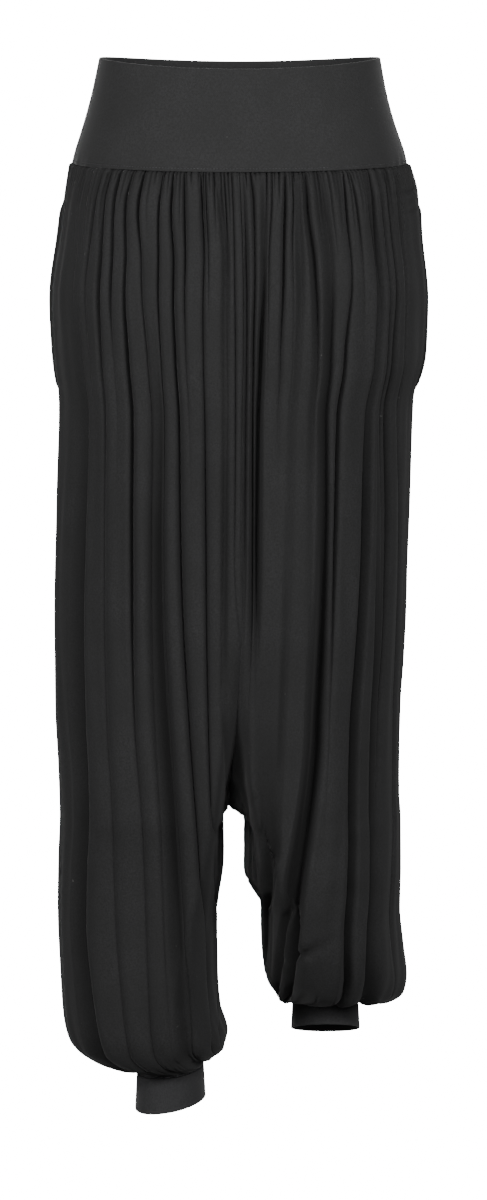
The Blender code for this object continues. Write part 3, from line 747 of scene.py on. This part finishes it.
# %% Panels from their columns
# Where folds overlap, the deeper one counts for more.
FOLD_SHARE = 1.6
# The fold depth at which the painted fold shade is full.
FULL_FOLD_SHADE_DEPTH = 8.0
TUCK, TUCK_LENGTH = 2.6, 3.6
# The seam allowance inside the yoke, from the top down: how far up it reaches and how far in it lies.
UNDER_YOKE = [(7.0, 4.3), (3.5, 3.5)]
YOKE_CLEAR = 2.6
# The cloth that hangs between the legs stands out a little at the middle, between these heights.
DRAPE_TOP, DRAPE_BOTTOM, DRAPE_EASE = -430.0, -730.0, 110.0
DRAPE_RISE, DRAPE_WIDTH = 9.0, 45.0
HELD_REACH, HELD_LEAST = 9.0, 0.65
# How far an edge turns in, and how far it laps across. One edge of a seam laps under the other.
LAPPED = [(1.5, 0.0), (4.2, 0.0), (5.4, 2.8)]
SHORT = [(1.0, 0.0), (1.8, 0.0), (2.6, 0.0)]
# The folds run out just before the middle seam, where the two sides meet.
MEETING = 5.0
# The pocket's mouth in the side seam: its front lip stands out, and the back edge is set back.
POCKET_TOP, POCKET_BOTTOM, POCKET_EASE = -130.0, -315.0, 14.0
LIP_RISE, LIP_WIDTH, POCKET_TURN_BACK = 4.5, 14.0, 2.5


def folds_of_panel(kind, run, stations, centres, ends, length, firsts, rng):
    """How deep the cloth lies in its folds at each point, in millimetres."""
    depth = np.zeros_like(run)
    opening = clamp((stations - OPENS_FROM) / (OPENS_TO - OPENS_FROM))[:, None]
    for fold, centre in zip(FOLDS[kind], centres.T):
        deep = smooth(FOLD_STATIONS, fold.depths, stations)
        walls = (fold.outer_wall, fold.inner_wall, fold.floor)
        depth += fold_depth(run, centre, deep, *walls, opening) ** FOLD_SHARE
    depth += gather_depth(YOKE_GATHERS, PLAIN_STRIP[kind], run, firsts, stations, rng)
    depth += gather_depth(CUFF_GATHERS, PLAIN_STRIP[kind], run, firsts, 1 - stations, rng)
    down = np.repeat(stations[:, None] * length, run.shape[1], axis=1)
    for crease in CREASES[kind]:
        depth += crease_depth(crease, run, down, ends[0], length) ** FOLD_SHARE
    before_middle = clamp((run[:, -1:] - run) / MEETING)
    return depth ** (1 / FOLD_SHARE) * before_middle**0.5


def edge_turned(edge, beside, normal, turns):
    """The columns that turn an edge in, from the edge on."""
    across = unit(edge - beside)
    return np.stack([edge - normal * inward + across * past for inward, past in turns], axis=1)


def with_allowance(points, normals, run, side, face):
    """The grid with its two edges turned in."""
    at_side = LAPPED if face == BACK else SHORT
    at_middle = LAPPED if side == LEFT else SHORT
    before = edge_turned(points[:, 0], points[:, 1], normals[:, 0], at_side)[:, ::-1]
    after = edge_turned(points[:, -1], points[:, -2], normals[:, -1], at_middle)
    before_run = run[:, :1] - [sum(turn) for turn in at_side[::-1]]
    after_run = run[:, -1:] + [sum(turn) for turn in at_middle]
    run = np.concatenate([before_run, run, after_run], axis=1)
    return np.concatenate([before, points, after], axis=1), run


def with_top(grid, normals, relief, run):
    """The panel's points, and above them the seam allowance that runs up inside the yoke."""
    relief[0] = np.minimum(relief[0], -YOKE_CLEAR)
    points = [grid[:1] + normals[:1] * -inward + (0, 0, lift) for lift, inward in UNDER_YOKE]
    points = np.concatenate([*points, grid + normals * relief[:, :, None]])
    above = ((len(UNDER_YOKE), 0), (0, 0))
    return points, np.pad(normals, (*above, (0, 0)), mode="edge"), np.pad(run, above, mode="edge")


def panel_points(side, face):
    """One leg panel's grid of points, how far along its section each lies, and how deep in a fold, which
    sets its painted shade.
    """
    kind = side * face
    rng = np.random.default_rng(GATHER_SEED + 2 * side + face)
    stations = np.interp(np.linspace(0.0, 1.0, ROWS[face]), ROW_SHARES, ROW_STATIONS)
    length = stations_of(sections_of(side, face))[1]
    sections = sections_at(side, face, stations)
    curves = [section_curve(section, side, face) for section in sections]
    heights = np.array([section.height for section in sections])
    at_pocket = window(heights, POCKET_TOP, POCKET_BOTTOM, POCKET_EASE)
    centres = fold_centres(kind, stations, sections, curves)
    starts = SEAM_GAP + (POCKET_TURN_BACK if face == BACK else 0.0) * at_pocket
    ends = np.array([along[-1] for _, _, along in curves]) - SEAM_GAP
    anchors, creases = anchors_of(kind, centres, starts, ends)
    places = column_places(anchors, COLUMNS[face])
    firsts = np.concatenate([[0], np.cumsum([len(share) for share in places])])
    parting = np.zeros_like(anchors)
    for k, i in enumerate(creases):
        deep = smooth(FOLD_STATIONS, FOLDS[kind][i].depths, stations)
        parting[:, k + 1] = clamp(deep / FULL_CREASE)
    run, relief = bands_between(anchors, places, parting)

    depth = folds_of_panel(kind, run, stations, centres, ends, length, firsts, rng)
    from_edge = np.minimum(run - run[:, :1], run[:, -1:] - run)
    fade = clamp(from_edge / WAVES_FADE)
    for height, spacing, drift, turns in WAVES:
        bend = drift * np.sin(stations * turns + side)[:, None]
        relief += height * fade * np.sin(run / spacing + bend + face)
    relief += CREST - depth - SEAM_GROOVE * pressed(from_edge / SEAM_WALL)
    before_middle = clamp(1 - (run[:, -1:] - run) / DRAPE_WIDTH)
    relief += DRAPE_RISE * window(heights, DRAPE_TOP, DRAPE_BOTTOM, DRAPE_EASE)[:, None] * before_middle**2
    if face == FRONT:
        relief += LIP_RISE * at_pocket[:, None] * clamp(1 - run / LIP_WIDTH) ** 2
    from_end = np.minimum(stations, 1 - stations) * length
    held = clamp(from_end / HELD_REACH + HELD_LEAST)
    tuck = TUCK * clamp(1 - from_end / TUCK_LENGTH)
    relief = relief * held[:, None] - tuck[:, None]

    grid = [points_along(section, side, curve, at) for section, curve, at in zip(sections, curves, run)]
    grid = np.array(grid)
    normals = unit_normals(grid, kind)
    points, run = with_allowance(*with_top(grid, normals, relief, run), side, face)
    # Painted shade: how deep each point lies in a fold, as the value that darkens its colour.
    fold_shade_mask = clamp(depth * held[:, None] / FULL_FOLD_SHADE_DEPTH)
    fold_shade_mask = np.pad(fold_shade_mask, ((len(UNDER_YOKE), 0), (len(SHORT), len(SHORT))), mode="edge")
    return points, run, fold_shade_mask


panels, panel_grids = {}, {}
for face in (BACK, FRONT):
    for side in (LEFT, RIGHT):
        node = FACE_NAMES[face] + "_" + SIDE_NAMES[side]
        points, run, fold_shade_mask = panel_points(side, face)
        mesh = grid_mesh(node, points, run, side * face < 0)
        # The fold value carries the painted fold shade into the material.
        mesh.attributes.new("fold", "FLOAT", "POINT").data.foreach_set("value", fold_shade_mask.reshape(-1))
        panels[node] = piece_of(node + "_panel", mesh, PANEL_JERSEY, node)
        panel_grids[node] = points
        thicken(panels[node])
        print(node, len(mesh.polygons), "quads")

# %% [markdown]
# ## Pockets
#
# The side seams are open over the hips, as the mouths of two pockets. Only a strip of each pocket's bag
# shows there: one more layer of the jersey, a little way inside both panels.

# %% Pocket strips
POCKET_ROWS, POCKET_COLUMNS = 60, 14
# The first rows of the section tables, whose heights fall all the way.
TORSO_ROWS = 12
POCKET_REACH, POCKET_PAST_MOUTH = 15.0, 20.0
POCKET_INSIDE = 2.6
POCKET_SAG, SAG_TURNS, SAG_SPACING = 0.9, 90.0, 6.0


def pocket_points(side):
    """The strip of a pocket that shows, from under the front panel to under the back one."""
    rows = sections_of(side, FRONT)
    knots, _ = stations_of(rows)
    heights = [-row.height for row in rows[:TORSO_ROWS]]
    mouth = [-POCKET_TOP - POCKET_PAST_MOUTH, POCKET_PAST_MOUTH - POCKET_BOTTOM]
    stations = np.linspace(*np.interp(mouth, heights, knots[:TORSO_ROWS]), POCKET_ROWS)
    reach = np.linspace(-POCKET_REACH, POCKET_REACH, 2 * POCKET_COLUMNS + 1)
    grid = []
    for front, back in zip(sections_at(side, FRONT, stations), sections_at(side, BACK, stations)):
        ahead = points_along(front, side, section_curve(front, side, FRONT), -reach[reach < 0])
        behind = points_along(back, side, section_curve(back, side, BACK), reach[reach >= 0])
        grid.append(np.concatenate([ahead, behind]))
    grid = np.array(grid)
    sag = POCKET_SAG * np.sin(stations * SAG_TURNS)[:, None] * np.cos(reach / SAG_SPACING)
    grid -= unit_normals(grid, side) * (POCKET_INSIDE + sag)[:, :, None]
    return grid, np.repeat(reach[None], POCKET_ROWS, axis=0)


pockets = {}
for side in (LEFT, RIGHT):
    node = "pocket_" + SIDE_NAMES[side]
    mesh = grid_mesh(node, *pocket_points(side), side < 0)
    pockets[node] = piece_of(node + "_strip", mesh, PANEL_JERSEY, node)
    thicken(pockets[node])
print("pocket mouths", POCKET_TOP - POCKET_BOTTOM, "mm long")

# %% [markdown]
# ## Yoke and cuffs
#
# The yoke is a doubled band of the same jersey. It is folded over at the top, which gives a round edge, and
# its lower edge lies over the gathers. Each cuff is such a band too, folded over at its lower edge. We draw
# a band's cross-section, down the outside and up the inside, and carry it round the body or the ankle.

# %% Bands
YOKE_COLUMNS, YOKE_THICK, YOKE_HEIGHT = 160, 2.0, 95.8
CUFF_COLUMNS, CUFF_THICK, CUFF_LENGTH = 120, 1.9, 37.0
CUFF_TOP_FLARE, CUFF_FLARE, CUFF_ROLL = -1.2, 2.0, 4.0
# Where a band's outline has its points: round the fold, round the turned edge, and down both faces.
FOLD_STEPS, EDGE_STEPS = 7, 6
OUTER_SHARES = (0.03, 0.08, 0.16, 0.28, 0.4, 0.52, 0.64, 0.76, 0.86, 0.92)
INNER_SHARES = (0.93, 0.8, 0.6, 0.4, 0.2, 0.06)
EDGE_PAST, EDGE_RADIUS, EDGE_RISE = 0.8, 0.55, 0.05
STITCH_FROM_EDGE, STITCH_SINK = 2.4, 0.15
BEFORE_STITCH, AFTER_STITCH = 1.2, 1.0
PUCKER, PUCKER_REACH = 0.4, 9.0
PUCKER_SPACING, PUCKER_DRIFT = (1.9, 3.1), 21.0
YOKE_SEAM_DIP = 0.6


def band_outline(length, thick, folded_first):
    """A band's outline: distances down it and out from its outer face, round from the upper edge's inside.
    One edge is a round fold and the other is a thin turned edge that stands out a little."""
    turn, radius = np.linspace(math.pi, 0.0, FOLD_STEPS), thick / 2
    fold = [(-radius * math.sin(a), radius * math.cos(a) - radius) for a in turn]
    face = [(share * length, 0.0) for share in OUTER_SHARES]
    stitch = length - STITCH_FROM_EDGE
    stitched = [(stitch - BEFORE_STITCH, 0.0), (stitch, -STITCH_SINK), (stitch + AFTER_STITCH, EDGE_RISE)]
    edge = [
        (length + EDGE_PAST * math.sin(a), EDGE_RISE - EDGE_RADIUS + EDGE_RADIUS * math.cos(a))
        for a in np.linspace(0.0, math.pi, EDGE_STEPS)
    ]
    outline = fold + face + stitched + edge + [(share * length, -thick) for share in INNER_SHARES]
    if not folded_first:
        outline = [(length - down, out) for down, out in outline][::-1]
    return outline


def half_ring(section, side, face, start, columns):
    """Half of a ring: points along a section, from its side seam on, and how far along it they lie."""
    curve = section_curve(section, side, face)
    at = np.linspace(start, curve[2][-1], columns // 2 + 1)
    return points_along(section, side, curve, at), at


def joined(halves, whole, last=None):
    """Two half rings that meet in the middle, as one row of points. We walk the second one backwards."""
    (points, at), (others, others_at) = halves
    back = slice(-2, last, -1)
    return np.concatenate([points, others[back]]), np.concatenate([at, whole - others_at[back]])


def yoke_points(face):
    """Points of half the yoke: round its outline in rows, and round the body in columns."""
    heights, *columns = zip(*YOKE_ROWS)
    grid, run = [], []
    for drop, out in band_outline(YOKE_HEIGHT, YOKE_THICK, True):
        at_row = min(max(drop, 0.0), YOKE_HEIGHT)
        sizes = [float(smooth([-height for height in heights], column, at_row)) for column in columns]
        left, right, back, front = [size + out for size in sizes[:4]]
        depth = back if face == BACK else front
        halves = []
        for side, outer in ((LEFT, left), (RIGHT, right)):
            shape = (depth, depth, 0.0, YOKE_FILL)
            section = Section(-drop, side * outer, 0.0, 0.0, *shape, 0.0, 0.0, sizes[4])
            halves.append(half_ring(section, side, face, SEAM_GAP, YOKE_COLUMNS))
        row, at = joined(halves, 2 * halves[0][1][-1])
        if out > -YOKE_THICK / 2:
            near = clamp(1 - (YOKE_HEIGHT - drop) / PUCKER_REACH)
            fine, coarse = [at / spacing for spacing in PUCKER_SPACING]
            pucker = PUCKER * near * (np.sin(fine) * 0.5 + np.sin(coarse + 2 * np.sin(at / PUCKER_DRIFT)))
            pucker[[0, -1]] -= YOKE_SEAM_DIP
            row = row + unit(row * (1.0, 1.0, 0.0)) * pucker[:, None]
        grid.append(row)
        run.append(at)
    return np.array(grid), np.array(run)


def cuff_ring(side, drop, out):
    """One ring of a cuff, drawn down from the panels' last sections along the shin."""
    halves, share = [], min(max(drop / CUFF_LENGTH, 0.0), 1.0)
    for face in (BACK, FRONT):
        last = sections_of(side, face)[-1]
        tilt = math.radians(last.tilt)
        wide = CUFF_TOP_FLARE + CUFF_FLARE * share + out
        section = last._replace(
            height=last.height - drop * math.cos(tilt), axis=last.axis + drop * math.sin(tilt),
            outer=last.outer + side * wide, inner=last.inner - side * wide, lobe=last.lobe + wide,
            depth=last.depth + wide, roll=last.roll + (CUFF_ROLL * share if last.roll else 0.0),
        )
        halves.append(half_ring(section, side, face, 0.0, CUFF_COLUMNS))
    return joined(halves, halves[0][1][-1] + halves[1][1][-1], 0)


yoke_grids, cuff_grids, bands = {}, {}, {}
for face in (BACK, FRONT):
    node = "waistband_" + FACE_NAMES[face]
    yoke_grids[face], run = yoke_points(face)
    mesh = grid_mesh(node, yoke_grids[face], run, face < 0, band=True)
    bands[node] = piece_of(node + "_band", mesh, YOKE_JERSEY, node)
for side in (LEFT, RIGHT):
    node = "cuff_" + SIDE_NAMES[side]
    rings = [cuff_ring(side, drop, out) for drop, out in band_outline(CUFF_LENGTH, CUFF_THICK, False)]
    cuff_grids[side], run = (np.array(part) for part in zip(*rings))
    mesh = grid_mesh(node, cuff_grids[side], run, side < 0, band=True, ring=True)
    bands[node] = piece_of(node + "_band", mesh, CUFF_JERSEY_PAINTED_LIGHTER, node)
print("bands:", {name: len(band.data.polygons) for name, band in bands.items()})

# %% [markdown]
# ## Thread
#
# The seams are sewn with spun polyester thread, dyed black. It is twisted and a little glossier than the
# knit, so each stitch catches a small light.

# %% The thread material
THREAD_ROUGHNESS, POLYESTER_IOR = 0.45, 1.57
TWIST_MM, TWIST_DEPTH = 0.5, 0.1

THREAD, thread_tree, thread_shader = new_material(
    "spun_polyester_thread", Roughness=THREAD_ROUGHNESS, IOR=POLYESTER_IOR
)
thread_map = add_node(thread_tree, "ShaderNodeTexCoord").outputs["Object"]
twist = stripes(thread_tree, thread_map, "DIAGONAL", TWIST_MM, Distortion=1.0)
thread_dye = mixed(thread_tree, twist, "#141416", "#232326")
finish_shader(thread_tree, thread_shader, thread_dye, twist, TWIST_DEPTH)
print("thread twist", TWIST_MM, "mm")

# %% [markdown]
# ## Stitches
#
# A row of stitches runs just above the yoke's lower edge, round the top of each cuff and beside each
# pocket's lip. Each stitch is a short capsule that dips into the cloth at both ends. One function lays a
# row along any line of points on the cloth, as one mesh.

# %% Stitch rows
STITCH_PITCH, STITCH_LENGTH, STITCH_THICK = 3.0, 2.3, 0.5
STITCH_SIDES = 6
STITCH_RISE, STITCH_DIP = 0.1, 0.35
STITCH_FROM_LIP = 6.0
# Along a stitch: where each ring lies, as a share of its length, and how thick it is there.
STITCH_RINGS = ((-0.5, 0.4), (-0.36, 0.9), (0.0, 1.0), (0.36, 0.9), (0.5, 0.4))


def stitch_row(path, outward):
    """The points of a row of stitches, by stitch, ring and side."""
    along = running(np.linalg.norm(np.diff(path, axis=0), axis=1))
    at = np.arange(STITCH_PITCH / 2, along[-1], STITCH_PITCH)

    def read(values, where):
        return np.stack([np.interp(where, along, values[:, i]) for i in range(3)], axis=-1)

    middle, out = read(path, at), read(outward, at)
    ahead = unit(read(path, at + 0.5) - read(path, at - 0.5))
    aside = np.cross(ahead, out)
    turn = np.arange(STITCH_SIDES) * math.tau / STITCH_SIDES
    rings = []
    for share, thick in STITCH_RINGS:
        lift = STITCH_RISE - STITCH_DIP * (2 * share) ** 2
        centre = middle + ahead * share * STITCH_LENGTH + out * lift
        around = out[:, None] * np.cos(turn)[:, None] + aside[:, None] * np.sin(turn)[:, None]
        rings.append(centre[:, None] + STITCH_THICK / 2 * thick * around)
    return np.stack(rings, axis=1)


def stitches(name, path, outward):
    """One mesh of all the stitches along a path."""
    points = stitch_row(path, outward)
    count, rings, sides = points.shape[:3]
    first = np.arange(count)[:, None, None] * rings * sides
    ring, turn = np.arange(rings - 1)[:, None] * sides, np.arange(sides)
    near, beside = first + ring + turn, first + ring + (turn + 1) % sides
    faces = np.stack([near, beside, beside + sides, near + sides], axis=-1).reshape(-1, 4).tolist()
    for cap in (turn[::-1], (rings - 1) * sides + turn):
        faces += (first[:, 0] + cap).tolist()
    mesh = bpy.data.meshes.new(name)
    mesh.from_pydata((points.reshape(-1, 3) * MM).tolist(), [], faces)
    mesh.shade_smooth()
    print(name, count, "stitches")
    return piece_of(name, mesh, THREAD)


def band_row(grid, outline, stitch_drop, sign):
    """The row of a band's grid that its stitches follow, and the way out there."""
    drops = [abs(down - stitch_drop) if out > -YOKE_THICK / 4 else math.inf for down, out in outline]
    i = int(np.argmin(drops))
    return grid[i], unit_normals(grid[i - 2 : i + 3], sign)[2]


def lip_row(grid, sign):
    """The line beside a pocket's lip that its stitches follow, and the way out there."""
    lip = len(SHORT)
    from_lip = np.linalg.norm(grid[:, lip:] - grid[:, lip : lip + 1], axis=2)[len(grid) // 4]
    i = lip + int(np.argmin(np.abs(from_lip - STITCH_FROM_LIP)))
    normals = unit_normals(grid[:, i - 2 : i + 3], sign)
    heights = grid[:, i, 2]
    beside = (heights < POCKET_TOP) & (heights > POCKET_BOTTOM)
    return grid[beside, i], normals[beside, 2]


yoke_outline = band_outline(YOKE_HEIGHT, YOKE_THICK, True)
cuff_outline = band_outline(CUFF_LENGTH, CUFF_THICK, False)
for face in (BACK, FRONT):
    node = "waistband_" + FACE_NAMES[face]
    path, out = band_row(yoke_grids[face], yoke_outline, YOKE_HEIGHT - STITCH_FROM_EDGE, face)
    stitches("yoke_stitches_" + FACE_NAMES[face], path, out)
for side in (LEFT, RIGHT):
    node = "cuff_" + SIDE_NAMES[side]
    path, out = band_row(cuff_grids[side], cuff_outline, STITCH_FROM_EDGE, side)
    path, out = (np.concatenate([ring, ring[:1]]) for ring in (path, out))
    stitches("cuff_stitches_" + SIDE_NAMES[side], path, out)
for side in (LEFT, RIGHT):
    node = "front_" + SIDE_NAMES[side]
    path, out = lip_row(panel_grids[node], side * FRONT)
    stitches("pocket_stitches_" + SIDE_NAMES[side], path, out)

# %% [markdown]
# ## Tacks
#
# A small tack holds the layers together on each side seam at knee height. It is a bar of thread, wound
# tight: a rounded block with the wraps showing round it.

# %% Tacks
TACK_WRAPS, WRAP_DEPTH = 9, 0.18
TACK_SQUARENESS = 0.6


def tack(name):
    """A wound bar of thread that stands out of a side seam."""
    low, high = (np.array(corner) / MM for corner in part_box(name))
    mesh = bpy.data.meshes.new(name)
    ball = bmesh.new()
    bmesh.ops.create_uvsphere(ball, u_segments=32, v_segments=64, radius=1.0)
    for vertex in ball.verts:
        point = np.array(vertex.co)
        block = np.sign(point) * np.abs(point) ** TACK_SQUARENESS
        wraps = 1 - WRAP_DEPTH / 2 * abs(math.cos(block[2] * math.pi * TACK_WRAPS / 2))
        vertex.co = ((low + high) / 2 + block * (wraps, wraps, 1.0) * (high - low) / 2) * MM
    ball.to_mesh(mesh)
    ball.free()
    mesh.shade_smooth()
    return piece_of(name + "_bar", mesh, THREAD, name)


print("tacks:", [tack("tack_" + SIDE_NAMES[side]).name for side in (LEFT, RIGHT)])

# %% [markdown]
# ## The cloth's cut
#
# Every piece of cloth was cut to a size before it was gathered or stretched, and a panel was cut wider
# at its top than at its cuff. The loops below only walk over the names of the panels, the cuffs and the
# pockets.

for face in (BACK, FRONT):
    for side in (LEFT, RIGHT):
        node = FACE_NAMES[face] + "_" + SIDE_NAMES[side]
for side in (LEFT, RIGHT):
    node = "cuff_" + SIDE_NAMES[side]
    node = "pocket_" + SIDE_NAMES[side]
